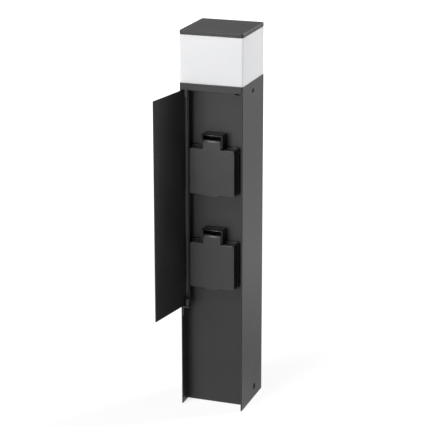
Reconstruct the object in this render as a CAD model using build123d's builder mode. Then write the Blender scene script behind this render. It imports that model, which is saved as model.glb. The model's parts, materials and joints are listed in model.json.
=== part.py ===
from build123d import *
import os
from math import cos, radians, sin, tan

# Garden socket post: a square aluminium post with two covered earthed sockets behind a
# hinged door, and an opal lamp on top. Millimetres, +Z up, +X to the viewer's right, the
# front faces -Y. The origin is on the ground, at the middle of the post.

os.makedirs("parts", exist_ok=True)

# Shared clearances
overrun = 1.0
fixed_gap = 0.02
running_gap = 0.06
seat_gap = 0.3

# Post: an extruded profile whose side walls run forward past a set-back web
post_side = 75.0
post_height = 390.0
post_wall = 1.6
post_corner_radius = 1.0
web_thickness = 1.8
recess_depth = 17.5
chamber_corner_radius = 1.2

half_side = post_side / 2
front_y = -half_side
web_front_y = front_y + recess_depth
web_back_y = web_front_y + web_thickness
inner_half = half_side - post_wall
chamber_depth = inner_half - web_back_y
chamber_mid_y = (inner_half + web_back_y) / 2

# Locking screws through the side walls, seen as a round hole on top and a slot below
lock_screw_radius = 2.5
lock_screw_length = 8.0
lock_screw_inset = 1.0
lock_key_radius = 1.45
lock_key_depth = 2.5
lock_hole_radius = 2.8
lock_slot_height = 8.0
head_screw_setback = 16.9
head_screw_drop = 11.4
base_screw_z = 13.8

# Base bracket: foot plate, side tabs and the upright that carries the terminal box
foot_thickness = 3.0
foot_gap = 0.4
tab_width = 18.0
tab_height = 26.0
tab_corner_radius = 4.0
upright_width = 44.0
upright_margin = 8.0
anchor_hole_radius = 3.25
anchor_inset_x = 10.5
anchor_inset_y = 9.65
entry_hole_radius = 8.0
bend_radius = 2.5

foot_half_x = inner_half - foot_gap
foot_front_y = web_back_y + foot_gap
foot_back_y = inner_half - foot_gap
foot_mid_y = (foot_front_y + foot_back_y) / 2

# Cable grommet in the foot plate
grommet_bore_radius = 6.0
grommet_flange_radius = 10.5
grommet_flange_height = 2.0

# Terminal box on the upright
box_width = 48.0
box_depth = 24.0
box_height = 48.0
box_bottom_z = 36.0
box_wall = 2.0
box_corner_radius = 3.0
cover_thickness = 3.0
cover_lip = 2.5
cover_lip_wall = 1.6
block_width = 30.0
block_depth = 14.0
block_height = 16.0
block_poles = 3
block_screw_radius = 2.2
block_screw_depth = 4.0
box_screw_radius = 2.0
box_screw_head_radius = 3.6
box_screw_head = 1.8
box_screw_inset = 8.0
gland_thread_radius = 5.8
gland_hex_radius = 9.5
gland_hex_height = 5.0
gland_dome_radius = 7.6
gland_dome_height = 9.0
gland_thread_length = 6.0
gland_edge_fillet = 2.0

# Inner leads
lead_radius = 2.5
lead_bore_gap = 0.15
lead_drop_y = 30.0
lead_x = 10.0
lead_z = 9.0
lead_rise = 14.0
lead_tail = 15.0
bend_share = 0.45

# Sockets
upper_socket_drop = 102.1
socket_pitch = 112.4
gasket_thickness = 1.0
gasket_inset = 0.3
flange_side = 57.5
flange_thickness = 4.0
flange_corner_radius = 4.0
flange_edge_fillet = 0.8
socket_projection = 15.6
collar_radius = 22.4
well_radius = 19.5
well_depth = 17.5
well_floor = 2.5
well_mouth_chamfer = 0.8
key_width = 5.0
key_depth = 1.0
barrel_radius = 21.7
barrel_depth = 24.0
barrel_gap = 0.3
screw_pitch = 43.0
screw_radius = 1.5
screw_length = 11.0
screw_head_radius = 2.8
screw_head_depth = 1.6
screw_slot_depth = 0.8
screw_slot_width = 0.9

# Contacts behind the well floor
pin_pitch = 19.0
pin_hole_radius = 2.7
carrier_gap = 0.2
carrier_end_inset = 0.5
contact_radius = 3.5
contact_bore_radius = 2.35
contact_length = 11.0
contact_slit = 0.6
contact_slit_length = 7.0
clip_width = 6.0
clip_thickness = 0.8
clip_gap = 0.3
clip_radius = 18.6
clip_bow = 1.9
clip_reach = 13.5
clip_bar_gap = 0.2
terminal_screw_radius = 1.5
terminal_screw_depth = 8.0
terminal_head_radius = 2.5
terminal_head_height = 1.8

# Rotary shutter between the well floor and the carrier
shutter_radius = 13.5
shutter_thickness = 1.5
shutter_gap = 0.2
shutter_turn = 40.0
stub_radius = 2.0

# Lid, its seal, hinge box, pin and spring
lid_side = 54.0
lid_corner_radius = 2.6
lid_plate = 2.0
lid_skirt = 1.8
lid_gap = 0.4
lid_edge_fillet = 0.6
grip_width = 17.0
grip_drop = 1.8
grip_thickness = 2.6
grip_corner_radius = 1.2
neck_width = 20.8
neck_thickness = 2.4
eye_radius = 3.0
hinge_rise = 7.7
hinge_pin_radius = 1.0
hinge_pin_inset = 0.2
spring_window = 8.0
spring_window_radius = 2.1
hinge_box_width = 25.5
hinge_box_rise = 17.0
hinge_box_reach = 15.0
hinge_box_start = 1.5
hinge_box_top = 1.6
hinge_box_back = 2.0
hinge_box_radius = 2.5
cheek_gap = 0.35
seal_thickness = 1.0
seal_inner_radius = 19.9
seal_outer_radius = 22.2
spring_radius = 1.55
spring_wire = 0.5
spring_turns = 10
spring_drop = 3.5

# Door: folded sheet, curled round its pivots at the left
door_sheet = 1.2
door_curl_radius = 2.6
door_lip = 1.5
door_top_gap = 0.7
door_height = 258.0
door_side_gap = 0.8
door_open_angle = 100.0
pivot_inset = 4.9
pivot_pin_radius = 1.5
pivot_pin_reach = 7.0
bush_radius = 2.55
bush_length = 8.0
bracket_thickness = 2.0
bracket_length = 8.4
bracket_width = 8.0
bracket_corner_radius = 2.0
bracket_tab = 1.5
bracket_tab_height = 12.0

# Lamp base: cast tray in the top of the post, whose front lip is the strip over the door
tray_gap = 0.2
tray_plate = 2.5
header_height = 7.8
header_thickness = 2.0
skirt_height = 12.0
skirt_wall = 2.0
lug_depth = 8.0
lug_radius = 5.0
rib_pitch = 24.0
rib_thickness = 2.0
pivot_boss_radius = 3.7
pivot_bore_end = 0.5
spigot_wall = 1.8
spigot_height = 4.0
wire_hole_radius = 5.0
wire_hole_setback = 14.2
magnet_inset = 7.7
magnet_width = 6.2
magnet_height = 1.9
magnet_depth = 3.0
magnet_lug_drop = 2.1
magnet_lug_wall = 1.2
magnet_door_gap = 0.3

# Lamp head
diffuser_height = 55.0
diffuser_wall = 2.5
diffuser_corner_radius = 2.0
diffuser_edge_chamfer = 0.4
gasket_ring_width = 1.2
gasket_ring_height = 1.1
ring_gap = 0.1
cap_thickness = 5.0
cap_edge_fillet = 0.9
cap_underside_chamfer = 0.4
tie_inset = 7.7
tie_radius = 1.5
tie_head_radius = 2.8
tie_head = 1.8
tie_boss_radius = 3.5
tie_boss_height = 8.0
tie_thread = 6.0
board_radius = 26.0
board_thickness = 1.6
chip_side = 3.0
chip_height = 0.8
chip_pitch = 10.0
chip_rows = 3
driver_width = 46.0
driver_depth = 24.0
driver_height = 20.0
driver_back_gap = 2.7
driver_corner_radius = 2.0

# Places worked out from the sizes above
upper_z = post_height - upper_socket_drop
lower_z = upper_z - socket_pitch
socket_heights = {"lower": lower_z, "upper": upper_z}
head_screw_y = web_back_y + head_screw_setback
head_screw_z = post_height - head_screw_drop
header_bottom_z = post_height - header_height
flange_front = gasket_thickness + flange_thickness
collar_front = socket_projection - lid_plate - seal_thickness - seat_gap
well_bottom = collar_front - well_depth
floor_back = well_bottom - well_floor
carrier_front = floor_back - 2 * shutter_gap - shutter_thickness
carrier_back = carrier_end_inset - barrel_depth
carrier_radius = well_radius - carrier_gap
lid_top = lid_side / 2
hinge_up = lid_top + hinge_rise
hinge_out = socket_projection - eye_radius
door_outer_radius = door_curl_radius + door_sheet
pivot_x = pivot_inset - inner_half
pivot_y = front_y + door_outer_radius
door_reach = inner_half - door_side_gap - pivot_x
door_top_z = header_bottom_z - door_top_gap
door_bottom_z = door_top_z - door_height
tray_half = inner_half - tray_gap
tray_bottom_z = post_height - tray_plate
spigot_half = half_side - diffuser_wall - seat_gap
lamp_top_z = post_height + diffuser_height
box_back_y = foot_back_y - foot_thickness
box_front_y = box_back_y - box_depth
box_mid_y = (box_back_y + box_front_y) / 2
box_mid_z = box_bottom_z + box_height / 2
box_top_z = box_bottom_z + box_height
box_screw_pitch = box_height - 2 * box_screw_inset
upright_height = box_top_z + upright_margin
terminal_places = ((lead_x, lead_z), (-lead_x, -lead_z))
tie_reach = spigot_half - tie_inset
tie_places = ((-tie_reach, tie_reach), (tie_reach, -tie_reach))
magnet_left_x = inner_half - magnet_inset
magnet_bottom_z = header_bottom_z - magnet_lug_drop
wire_hole_y = web_back_y + wire_hole_setback
driver_mid_y = tray_half - skirt_wall - driver_back_gap - driver_depth / 2
anchor_pitch_x = 2 * (foot_half_x - anchor_inset_x)
anchor_pitch_y = foot_back_y - foot_front_y - 2 * anchor_inset_y


def face_plane(centre_z):
    """Plane on the web's front face at one socket's middle: x right, y up, z towards the viewer."""
    return Plane(origin=(0, web_front_y, centre_z), x_dir=(1, 0, 0), z_dir=(0, -1, 0))


def side_plane(centre_z):
    """Plane across the same point seen from the side: x towards the viewer, y up."""
    return Plane(origin=(0, web_front_y, centre_z), x_dir=(0, -1, 0), z_dir=(-1, 0, 0))


def wall_plane(side, y, z, inset):
    """Plane a little inside one side wall's outer face, facing into the post, with its y up."""
    return Plane(origin=(side * (half_side - inset), y, z), x_dir=(0, -side, 0), z_dir=(-side, 0, 0))


# Post
with BuildPart() as post_profile:
    with BuildSketch(Plane.XY):
        RectangleRounded(post_side, post_side, post_corner_radius)
        with Locations((0, web_front_y - (recess_depth + overrun) / 2)):
            Rectangle(2 * inner_half, recess_depth + overrun, mode=Mode.SUBTRACT)
        with Locations((0, chamber_mid_y)):
            RectangleRounded(2 * inner_half, chamber_depth, chamber_corner_radius, mode=Mode.SUBTRACT)
    extrude(amount=post_height)
    # the web stops under the tray's plate
    with BuildSketch(Plane.XY.offset(tray_bottom_z - tray_gap)):
        with Locations((0, (web_front_y + web_back_y + chamber_corner_radius) / 2)):
            Rectangle(2 * inner_half, web_thickness + chamber_corner_radius)
    extrude(amount=tray_plate + tray_gap + overrun, mode=Mode.SUBTRACT)
    for centre_z in socket_heights.values():
        with BuildSketch(face_plane(centre_z)):
            Circle(barrel_radius + barrel_gap)
            with GridLocations(screw_pitch, screw_pitch, 2, 2):
                Circle(screw_radius + fixed_gap)
        extrude(amount=-web_thickness - overrun, mode=Mode.SUBTRACT)
    with BuildSketch(Plane.YZ):
        with Locations((head_screw_y, head_screw_z)):
            Circle(lock_hole_radius)
        with Locations((foot_mid_y, base_screw_z)):
            SlotOverall(lock_slot_height, 2 * lock_hole_radius, rotation=90)
    extrude(amount=half_side + overrun, both=True, mode=Mode.SUBTRACT)
post_profile.part.label = "post_profile"
export_step(post_profile.part, "parts/post_profile.step")


# Base bracket, bent from one plate
def inner_bend(part, along, across, place):
    """The lowest edge that runs along one axis at one place across it: the inside of a bend."""
    near = part.edges().filter_by(along).filter_by_position(across, place - fixed_gap, place + fixed_gap)
    return near.sort_by(Axis.Z)[0]


with BuildPart() as base_bracket:
    with BuildSketch(Plane.XY):
        with Locations((0, foot_mid_y)):
            RectangleRounded(2 * foot_half_x, foot_back_y - foot_front_y, chamber_corner_radius)
            Circle(entry_hole_radius, mode=Mode.SUBTRACT)
            with GridLocations(anchor_pitch_x, anchor_pitch_y, 2, 2):
                Circle(anchor_hole_radius, mode=Mode.SUBTRACT)
    extrude(amount=foot_thickness)
    for side in (-1, 1):
        with BuildSketch(wall_plane(side, foot_mid_y, 0, half_side - foot_half_x)) as tab:
            Rectangle(tab_width, tab_height, align=(Align.CENTER, Align.MIN))
            fillet(tab.vertices().group_by(Axis.Y)[-1], tab_corner_radius)
        extrude(amount=foot_thickness)
    with BuildSketch(Plane.XZ.offset(-foot_back_y)) as upright:
        Rectangle(upright_width, upright_height, align=(Align.CENTER, Align.MIN))
        fillet(upright.vertices().group_by(Axis.Y)[-1], tab_corner_radius)
    extrude(amount=foot_thickness)
    tab_inner_x = foot_half_x - foot_thickness
    bends = [
        inner_bend(base_bracket, Axis.Y, Axis.X, -tab_inner_x),
        inner_bend(base_bracket, Axis.Y, Axis.X, tab_inner_x),
        inner_bend(base_bracket, Axis.X, Axis.Y, foot_back_y - foot_thickness),
    ]
    fillet(bends, bend_radius)
    with BuildSketch(Plane.YZ):
        with Locations((foot_mid_y, base_screw_z)):
            Circle(lock_screw_radius + fixed_gap)
    extrude(amount=half_side, both=True, mode=Mode.SUBTRACT)
    with BuildSketch(Plane.XZ.offset(-foot_back_y)):
        with Locations((0, box_mid_z)):
            with GridLocations(0, box_screw_pitch, 1, 2):
                Circle(box_screw_radius + fixed_gap)
    extrude(amount=foot_thickness, mode=Mode.SUBTRACT)
base_bracket.part.label = "base_bracket"
export_step(base_bracket.part, "parts/base_bracket.step")


# Grub screws that lock the post to the bracket and the lamp head to the post
def build_lock_screws(y, z):
    """A left and a right grub screw on one line across the post."""
    with BuildPart() as screws:
        for side in (-1, 1):
            with BuildSketch(wall_plane(side, y, z, lock_screw_inset)):
                Circle(lock_screw_radius)
            extrude(amount=lock_screw_length)
            with BuildSketch(wall_plane(side, y, z, lock_screw_inset)):
                RegularPolygon(lock_key_radius, 6)
            extrude(amount=lock_key_depth, mode=Mode.SUBTRACT)
    return screws


base_lock_screws = build_lock_screws(foot_mid_y, base_screw_z)
base_lock_screws.part.label = "base_lock_screws"
export_step(base_lock_screws.part, "parts/base_lock_screws.step")

head_lock_screws = build_lock_screws(head_screw_y, head_screw_z)
head_lock_screws.part.label = "head_lock_screws"
export_step(head_lock_screws.part, "parts/head_lock_screws.step")


# Rubber grommet, pushed into the foot plate from above
with BuildPart() as cable_grommet:
    with BuildSketch(Plane.XY.offset(foot_thickness)):
        with Locations((0, foot_mid_y)):
            Circle(grommet_flange_radius)
    extrude(amount=grommet_flange_height)
    with BuildSketch(Plane.XY.offset(seat_gap)):
        with Locations((0, foot_mid_y)):
            Circle(entry_hole_radius - fixed_gap)
    extrude(amount=foot_thickness - seat_gap)
    with Locations((0, foot_mid_y)):
        Hole(grommet_bore_radius)
    fillet(cable_grommet.faces().sort_by(Axis.Z)[-1].outer_wire().edges(), grommet_flange_height / 2)
cable_grommet.part.label = "cable_grommet"
export_step(cable_grommet.part, "parts/cable_grommet.step")


# Terminal box: shell open to the front, closed by a push-on cover
box_plane = Plane(origin=(0, box_back_y, box_mid_z), x_dir=(1, 0, 0), z_dir=(0, -1, 0))
with BuildPart() as terminal_box:
    with BuildSketch(box_plane):
        RectangleRounded(box_width, box_height, box_corner_radius)
    extrude(amount=box_depth - cover_thickness)
    with BuildSketch(box_plane.offset(box_wall)):
        RectangleRounded(box_width - 2 * box_wall, box_height - 2 * box_wall, box_corner_radius - box_wall)
    extrude(amount=box_depth, mode=Mode.SUBTRACT)
    with BuildSketch(box_plane):
        with GridLocations(0, box_screw_pitch, 1, 2):
            Circle(box_screw_radius + fixed_gap)
    extrude(amount=box_wall, mode=Mode.SUBTRACT)
    with BuildSketch(Plane.XY.offset(box_bottom_z)):
        with Locations((0, box_mid_y)):
            Circle(gland_thread_radius + fixed_gap)
    extrude(amount=box_height, mode=Mode.SUBTRACT)
terminal_box.part.label = "terminal_box"
export_step(terminal_box.part, "parts/terminal_box.step")

with BuildPart() as terminal_box_cover:
    with BuildSketch(box_plane.offset(box_depth - cover_thickness)):
        RectangleRounded(box_width, box_height, box_corner_radius)
    extrude(amount=cover_thickness)
    fillet(terminal_box_cover.faces().sort_by(Axis.Y)[0].edges(), cover_thickness / 3)
    with BuildSketch(box_plane.offset(box_depth - cover_thickness)):
        RectangleRounded(
            box_width - 2 * (box_wall + seat_gap),
            box_height - 2 * (box_wall + seat_gap),
            box_corner_radius - box_wall,
        )
        Rectangle(
            box_width - 2 * (box_wall + seat_gap + cover_lip_wall),
            box_height - 2 * (box_wall + seat_gap + cover_lip_wall),
            mode=Mode.SUBTRACT,
        )
    extrude(amount=-cover_lip)
terminal_box_cover.part.label = "terminal_box_cover"
export_step(terminal_box_cover.part, "parts/terminal_box_cover.step")

with BuildPart() as terminal_block:
    with BuildSketch(box_plane.offset(box_wall)):
        Rectangle(block_width, block_height)
    extrude(amount=block_depth)
    with BuildSketch(box_plane.offset(box_wall + block_depth)):
        with GridLocations(block_width / block_poles, 0, block_poles, 1):
            Circle(block_screw_radius)
    extrude(amount=-block_screw_depth, mode=Mode.SUBTRACT)
    with BuildSketch(Plane.XY.offset(box_mid_z)):
        with Locations((0, box_back_y - box_wall - block_depth / 2)):
            with GridLocations(block_width / block_poles, 0, block_poles, 1):
                Circle(block_screw_radius)
    extrude(amount=block_height, both=True, mode=Mode.SUBTRACT)
terminal_block.part.label = "terminal_block"
export_step(terminal_block.part, "parts/terminal_block.step")

with BuildPart() as terminal_box_screws:
    with BuildSketch(box_plane.offset(box_wall)):
        with GridLocations(0, box_screw_pitch, 1, 2):
            Circle(box_screw_head_radius)
    extrude(amount=box_screw_head)
    with BuildSketch(box_plane.offset(box_wall)):
        with GridLocations(0, box_screw_pitch, 1, 2):
            Circle(box_screw_radius)
    extrude(amount=-box_wall - foot_thickness)
terminal_box_screws.part.label = "terminal_box_screws"
export_step(terminal_box_screws.part, "parts/terminal_box_screws.step")


def gland_profile(direction, z):
    """Half section of one gland, turned about the box's upright middle line."""
    bore = lead_radius + lead_bore_gap
    hex_end = z + direction * gland_hex_height
    dome_end = hex_end + direction * gland_dome_height
    Polyline(
        (bore, z - direction * gland_thread_length),
        (gland_thread_radius, z - direction * gland_thread_length),
        (gland_thread_radius, z),
        (gland_hex_radius, z),
        (gland_hex_radius, hex_end),
        (gland_dome_radius, hex_end),
        (gland_dome_radius - gland_edge_fillet / 2, dome_end - direction * gland_edge_fillet),
        (gland_dome_radius - gland_edge_fillet, dome_end),
        (bore, dome_end),
        close=True,
    )


gland_plane = Plane(origin=(0, box_mid_y, 0), x_dir=(1, 0, 0), z_dir=(0, -1, 0))
with BuildPart() as cable_glands:
    for direction, wall_z in ((-1, box_bottom_z), (1, box_top_z)):
        with BuildSketch(gland_plane):
            with BuildLine():
                gland_profile(direction, wall_z)
            make_face()
        revolve(axis=Axis((0, box_mid_y, 0), (0, 0, 1)))
cable_glands.part.label = "cable_glands"
export_step(cable_glands.part, "parts/cable_glands.step")


# Inner leads: sheathed cable from the terminal box to both sockets and on to the lamp driver
def corner_radii(points):
    """Bend radii as large as the runs on both sides of each corner leave room for."""
    radii = []
    for before, corner, after in zip(points, points[1:], points[2:]):
        first = Vector(*corner) - Vector(*before)
        second = Vector(*after) - Vector(*corner)
        turn = radians(first.get_angle(second))
        radii.append(bend_share * min(first.length, second.length) / tan(turn / 2))
    return radii


def build_lead(points):
    """A round lead along straight runs joined by tangent arcs."""
    radii = corner_radii(points)
    print("lead bend radii", [round(radius, 1) for radius in radii])
    with BuildPart() as lead:
        with BuildLine() as route:
            FilletPolyline(*points, radius=radii)
        with BuildSketch(Plane(origin=route.line @ 0, z_dir=route.line % 0)):
            Circle(lead_radius)
        sweep()
    return lead


lead_end_y = web_front_y - carrier_back + seat_gap
rise_top_z = box_top_z + gland_hex_height + gland_dome_height + lead_rise
driver_bottom_z = tray_bottom_z - driver_height
supply_lead = build_lead(
    [
        (0, box_mid_y, box_mid_z + block_height / 2 + seat_gap),
        (0, box_mid_y, rise_top_z),
        (lead_x, lead_drop_y, (rise_top_z + lower_z - lead_z) / 2),
        (lead_x, lead_drop_y, lower_z - lead_z),
        (lead_x, lead_end_y, lower_z - lead_z),
    ]
)
supply_lead.part.label = "supply_lead"
export_step(supply_lead.part, "parts/supply_lead.step")

link_lead = build_lead(
    [
        (-lead_x, lead_end_y, lower_z + lead_z),
        (-lead_x, lead_drop_y, lower_z + lead_z),
        (-lead_x, lead_drop_y, lower_z + socket_pitch / 3),
        (lead_x, lead_drop_y, upper_z - socket_pitch / 3),
        (lead_x, lead_drop_y, upper_z - lead_z),
        (lead_x, lead_end_y, upper_z - lead_z),
    ]
)
link_lead.part.label = "link_lead"
export_step(link_lead.part, "parts/link_lead.step")

lamp_lead = build_lead(
    [
        (-lead_x, lead_end_y, upper_z + lead_z),
        (-lead_x, lead_drop_y, upper_z + lead_z),
        (-lead_x, lead_drop_y, (upper_z + driver_bottom_z) / 2),
        (0, driver_mid_y, driver_bottom_z - lead_tail),
        (0, driver_mid_y, driver_bottom_z - seat_gap),
    ]
)
lamp_lead.part.label = "lamp_lead"
export_step(lamp_lead.part, "parts/lamp_lead.step")


# Sockets
def build_socket_body(face, side):
    """Flange, collar with the plug well, barrel behind the web, and the hinge box above."""
    with BuildPart() as body:
        with BuildSketch(face.offset(gasket_thickness)):
            RectangleRounded(flange_side, flange_side, flange_corner_radius)
        extrude(amount=flange_thickness)
        flange_rim = body.faces().sort_by(Axis.Y)[0].edges()
        fillet(flange_rim, flange_edge_fillet)
        # hinge box: rounded at the top front, then hollowed from the front and below
        box_start = lid_top + hinge_box_start
        roof_height = hinge_box_rise - hinge_box_start - hinge_box_top
        with BuildSketch(side) as outline:
            with Locations((gasket_thickness, box_start)):
                Rectangle(
                    hinge_box_reach - gasket_thickness,
                    hinge_box_rise - hinge_box_start,
                    align=(Align.MIN, Align.MIN),
                )
            fillet(outline.vertices().group_by(Axis.Y)[-1].sort_by(Axis.X)[-1], hinge_box_radius)
        extrude(amount=hinge_box_width / 2, both=True)
        with BuildSketch(side) as cavity:
            with Locations((gasket_thickness + hinge_box_back, box_start - overrun)):
                Rectangle(hinge_box_reach, roof_height + overrun, align=(Align.MIN, Align.MIN))
            fillet(cavity.vertices().group_by(Axis.Y)[-1].sort_by(Axis.X)[0], hinge_box_radius / 2)
        extrude(amount=neck_width / 2 + cheek_gap, both=True, mode=Mode.SUBTRACT)
        with BuildSketch(side):
            with Locations((hinge_out, hinge_up)):
                Circle(hinge_pin_radius + fixed_gap)
        extrude(amount=hinge_box_width, both=True, mode=Mode.SUBTRACT)
        # barrel through the web, and the collar in front
        with BuildSketch(face.offset(flange_front)):
            Circle(barrel_radius)
        extrude(amount=-flange_front - barrel_depth)
        with BuildSketch(face.offset(flange_front)):
            Circle(collar_radius)
        extrude(amount=collar_front - flange_front)
        # plug well with its two guide grooves and a bevelled mouth
        with BuildSketch(face.offset(collar_front)):
            Circle(well_radius)
            with GridLocations(2 * well_radius, 0, 2, 1):
                Rectangle(2 * key_depth, key_width)
        extrude(amount=-well_depth, mode=Mode.SUBTRACT)
        with BuildSketch(face.offset(collar_front)):
            Circle(well_radius + well_mouth_chamfer)
        extrude(amount=-well_mouth_chamfer, taper=45, mode=Mode.SUBTRACT)
        # room for the contact carrier, open at the back
        with BuildSketch(face.offset(-barrel_depth)):
            Circle(well_radius)
        extrude(amount=barrel_depth + floor_back, mode=Mode.SUBTRACT)
        with BuildSketch(face.offset(well_bottom)):
            with GridLocations(pin_pitch, 0, 2, 1):
                Circle(pin_hole_radius)
            with GridLocations(0, 2 * (clip_radius - clip_bow / 2), 1, 2):
                Rectangle(clip_width + 2 * clip_gap, clip_bow + 2 * clip_thickness)
        extrude(amount=-well_floor, mode=Mode.SUBTRACT)
        with BuildSketch(face):
            with GridLocations(screw_pitch, screw_pitch, 2, 2):
                Circle(screw_radius + fixed_gap)
        extrude(amount=flange_front, mode=Mode.SUBTRACT)
        with BuildSketch(face.offset(flange_front - screw_head_depth)):
            with GridLocations(screw_pitch, screw_pitch, 2, 2):
                Circle(screw_head_radius + fixed_gap)
        extrude(amount=screw_head_depth, mode=Mode.SUBTRACT)
    return body


def build_flange_gasket(face):
    """Flat rubber gasket between flange and web."""
    with BuildPart() as gasket:
        with BuildSketch(face):
            RectangleRounded(
                flange_side - 2 * gasket_inset,
                flange_side - 2 * gasket_inset,
                flange_corner_radius - gasket_inset,
            )
            Circle(barrel_radius + barrel_gap, mode=Mode.SUBTRACT)
            with GridLocations(screw_pitch, screw_pitch, 2, 2):
                Circle(screw_radius + seat_gap, mode=Mode.SUBTRACT)
        extrude(amount=gasket_thickness)
    return gasket


def build_socket_screws(face):
    """Four slotted screws through flange, gasket and web."""
    with BuildPart() as screws:
        with BuildSketch(face.offset(flange_front - screw_head_depth)):
            with GridLocations(screw_pitch, screw_pitch, 2, 2):
                Circle(screw_radius)
        extrude(amount=-screw_length + screw_head_depth)
        with BuildSketch(face.offset(flange_front - screw_head_depth)):
            with GridLocations(screw_pitch, screw_pitch, 2, 2):
                Circle(screw_head_radius)
        extrude(amount=screw_head_depth)
        with BuildSketch(face.offset(flange_front)):
            with GridLocations(screw_pitch, screw_pitch, 2, 2):
                Rectangle(2 * screw_head_radius, screw_slot_width)
        extrude(amount=-screw_slot_depth, mode=Mode.SUBTRACT)
    return screws


def build_contact_carrier(face):
    """Moulded insert that holds the contacts, with the stub that the shutter turns on."""
    groove_depth = carrier_radius - clip_radius + clip_thickness + clip_gap
    with BuildPart() as carrier:
        with BuildSketch(face.offset(carrier_back)):
            Circle(carrier_radius)
            with GridLocations(0, 2 * carrier_radius, 1, 2):
                Rectangle(clip_width + 2 * clip_gap, 2 * groove_depth, mode=Mode.SUBTRACT)
        extrude(amount=carrier_front - carrier_back)
        with BuildSketch(face.offset(carrier_front)):
            Circle(stub_radius)
        extrude(amount=shutter_thickness + 2 * shutter_gap - fixed_gap)
        with BuildSketch(face.offset(carrier_back)):
            with Locations((0, 0), *terminal_places):
                Circle(terminal_screw_radius + fixed_gap)
        extrude(amount=terminal_screw_depth, mode=Mode.SUBTRACT)
        with BuildSketch(face.offset(carrier_front)):
            with GridLocations(pin_pitch, 0, 2, 1):
                Circle(contact_radius + fixed_gap)
        extrude(amount=-contact_length, mode=Mode.SUBTRACT)
    return carrier


def build_pin_contacts(face):
    """Two brass sleeves, slit from the front so that they grip the plug's pins."""
    with BuildPart() as contacts:
        with BuildSketch(face.offset(carrier_front)):
            with GridLocations(pin_pitch, 0, 2, 1):
                Circle(contact_radius)
                Circle(contact_bore_radius, mode=Mode.SUBTRACT)
        extrude(amount=-contact_length)
        with BuildSketch(face.offset(carrier_front)):
            with GridLocations(pin_pitch, 0, 2, 1):
                Rectangle(contact_slit, 3 * contact_radius)
        extrude(amount=-contact_slit_length, mode=Mode.SUBTRACT)
    return contacts


def build_earth_clip(side):
    """One bent strip: two bowed fingers along the well and a bar across the carrier's back."""
    bar_out = carrier_back - clip_bar_gap
    bow_out = well_bottom + clip_reach / 2
    tip_out = well_bottom + clip_reach
    inner_radius = clip_radius - clip_thickness
    with BuildPart() as clip:
        with BuildSketch(side):
            with BuildLine():
                for up in (-1, 1):
                    ends = ((clip_radius, bar_out - clip_thickness), (inner_radius, bar_out))
                    for radius, back_out in ends:
                        tip = (tip_out, up * radius)
                        root = (well_bottom, up * radius)
                        ThreePointArc(tip, (bow_out, up * (radius - clip_bow)), root)
                        Line(root, (back_out, up * radius))
                    Line((tip_out, up * clip_radius), (tip_out, up * inner_radius))
                Line((bar_out - clip_thickness, -clip_radius), (bar_out - clip_thickness, clip_radius))
                Line((bar_out, -inner_radius), (bar_out, inner_radius))
            make_face()
        extrude(amount=clip_width / 2, both=True)
        with BuildSketch(Plane(origin=side.origin, x_dir=(1, 0, 0), z_dir=(0, -1, 0)).offset(bar_out)):
            Circle(terminal_screw_radius + fixed_gap)
        extrude(amount=-clip_thickness, mode=Mode.SUBTRACT)
    return clip


def build_terminal_screws(face):
    """Live and neutral screws in the carrier, and the earth screw through the clip's bar."""
    bar_back = carrier_back - clip_bar_gap - clip_thickness
    tip = carrier_back + terminal_screw_depth - seat_gap
    with BuildPart() as screws:
        for seat, places in ((carrier_back, terminal_places), (bar_back, ((0, 0),))):
            with BuildSketch(face.offset(seat)):
                with Locations(*places):
                    Circle(terminal_screw_radius)
            extrude(amount=tip - seat)
            with BuildSketch(face.offset(seat)):
                with Locations(*places):
                    Circle(terminal_head_radius)
            extrude(amount=-terminal_head_height)
    return screws


def build_shutter(face):
    """Disc with two ports that stand off the pin holes until it is turned."""
    with BuildPart() as shutter:
        with BuildSketch(face.offset(carrier_front + shutter_gap)):
            Circle(shutter_radius)
            Circle(stub_radius + running_gap, mode=Mode.SUBTRACT)
            with PolarLocations(pin_pitch / 2, 2, start_angle=shutter_turn):
                Circle(pin_hole_radius, mode=Mode.SUBTRACT)
        extrude(amount=shutter_thickness)
    return shutter


def build_lid(face, side):
    """Square cover with a skirt, a finger grip below, and a neck rolled into the hinge eye."""
    neck_back = socket_projection - neck_thickness
    with BuildPart() as lid:
        with BuildSketch(face.offset(flange_front + lid_gap)):
            RectangleRounded(lid_side, lid_side, lid_corner_radius)
        extrude(amount=socket_projection - flange_front - lid_gap)
        with BuildSketch(face.offset(socket_projection)) as grip:
            with Locations((0, -lid_top - grip_drop)):
                Rectangle(grip_width, grip_drop + lid_skirt, align=(Align.CENTER, Align.MIN))
            fillet(grip.vertices().group_by(Axis.Y)[0], grip_corner_radius)
        extrude(amount=-grip_thickness)
        fillet(lid.faces().sort_by(Axis.Y)[0].edges(), lid_edge_fillet)
        with BuildSketch(face.offset(flange_front + lid_gap)):
            RectangleRounded(
                lid_side - 2 * lid_skirt,
                lid_side - 2 * lid_skirt,
                lid_corner_radius - lid_skirt,
            )
        extrude(amount=socket_projection - lid_plate - flange_front - lid_gap, mode=Mode.SUBTRACT)
        with BuildSketch(side):
            with Locations((hinge_out, hinge_up)):
                Circle(eye_radius)
            with Locations((neck_back, hinge_up)):
                Rectangle(
                    neck_thickness,
                    hinge_up - lid_top + lid_skirt,
                    align=(Align.MIN, Align.MAX),
                )
        extrude(amount=neck_width / 2, both=True)
        with BuildSketch(side):
            with Locations((hinge_out, hinge_up)):
                Circle(hinge_pin_radius + running_gap)
        extrude(amount=neck_width, both=True, mode=Mode.SUBTRACT)
        # window for the spring, open behind the neck
        with BuildSketch(side):
            with Locations((hinge_out, hinge_up)):
                Circle(spring_window_radius)
            with Locations((neck_back, hinge_up)):
                Rectangle(2 * eye_radius, 2 * (eye_radius + overrun), align=(Align.MAX, Align.CENTER))
        extrude(amount=spring_window / 2, both=True, mode=Mode.SUBTRACT)
    return lid


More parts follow.
